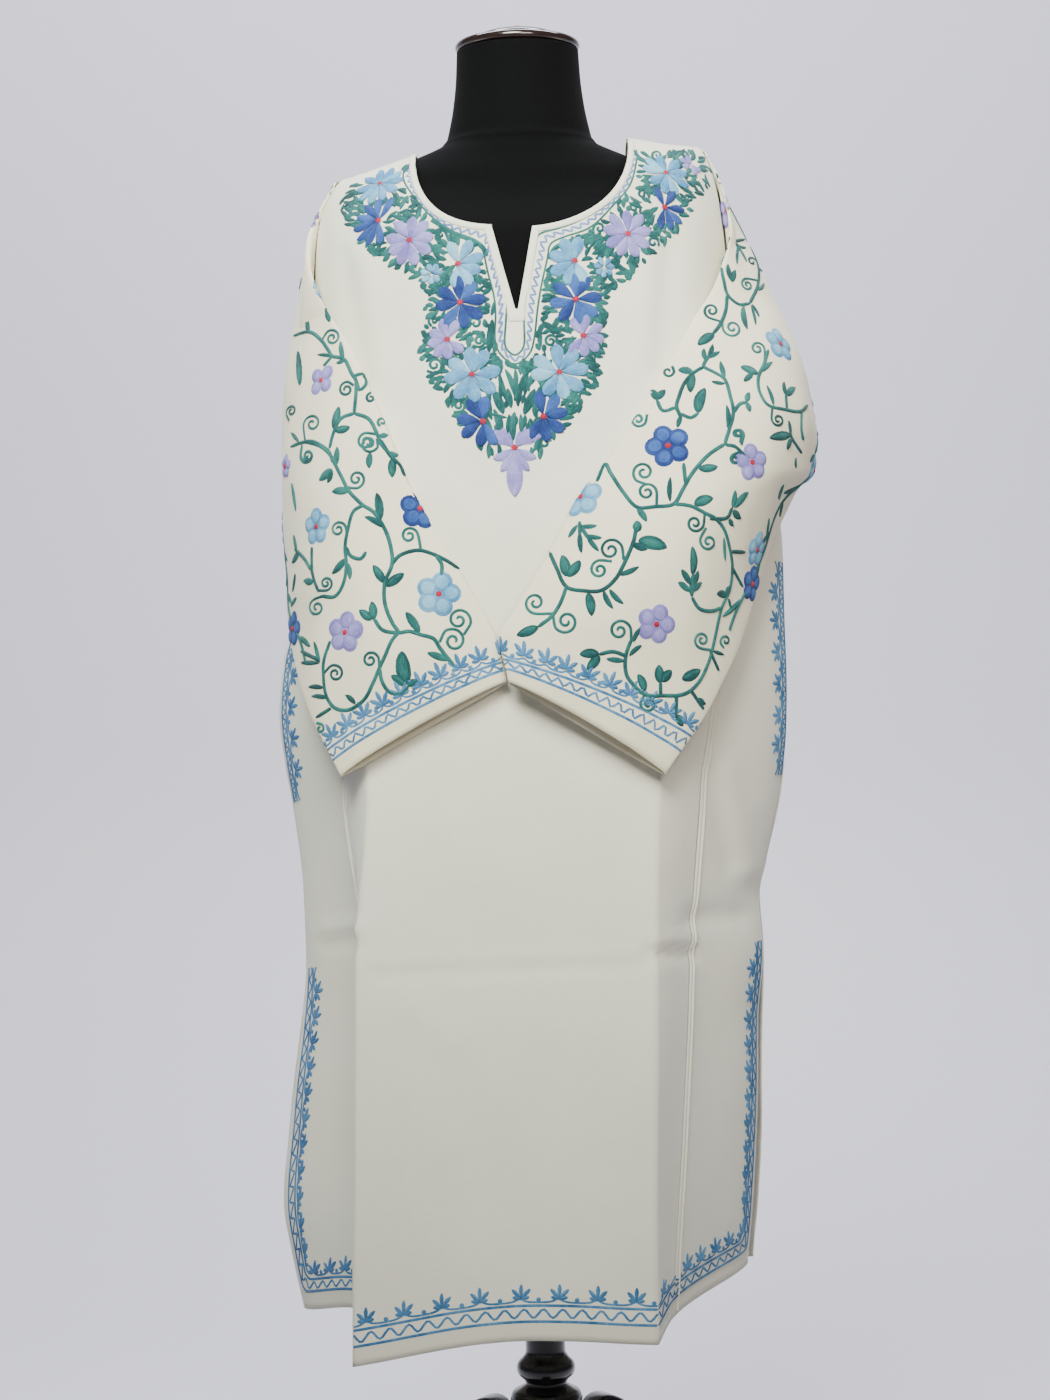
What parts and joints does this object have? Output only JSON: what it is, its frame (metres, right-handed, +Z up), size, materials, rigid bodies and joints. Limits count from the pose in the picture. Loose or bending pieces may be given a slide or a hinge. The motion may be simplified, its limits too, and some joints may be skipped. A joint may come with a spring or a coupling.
{
  "type": "pheran and dress form",
  "caption": "Wide embroidered Kashmiri tunic with folded sleeves, hanging on a limbless dress form with a turned pole and tripod legs.",
  "frame": {"origin": "middle of the bounding box's footprint, on the floor", "axes": "+Z up, -Y out of the garment's front, +X to the wearer's left"},
  "size_m": [0.5078, 0.4078, 1.5776],
  "materials": {
    "cloth": "cream fine twill, matte",
    "embroidery": "chain-stitched yarn in teal, blue, lavender and red",
    "jersey": "black cotton jersey, matte",
    "cap": "dark lacquered, gloss",
    "brass": "plain, slightly dull",
    "stand": "black lacquered, gloss"
  },
  "bodies": {
    "root": {"front_panel": "cloth", "back_panel": "cloth", "front_gore_left": "cloth", "back_gore_left": "cloth", "sleeve_left": "cloth", "pocket_bag_left": "cloth", "front_gore_right": "cloth", "back_gore_right": "cloth", "sleeve_right": "cloth", "pocket_bag_right": "cloth", "neck_binding_front": "cloth", "neck_binding_back": "cloth", "form_torso": "jersey", "neck_cap": "cap", "cap_pin": "brass", "stand_pole": "stand", "leg_front": "stand", "leg_back_left": "stand", "leg_back_right": "stand"}
  },
  "joints": []
}
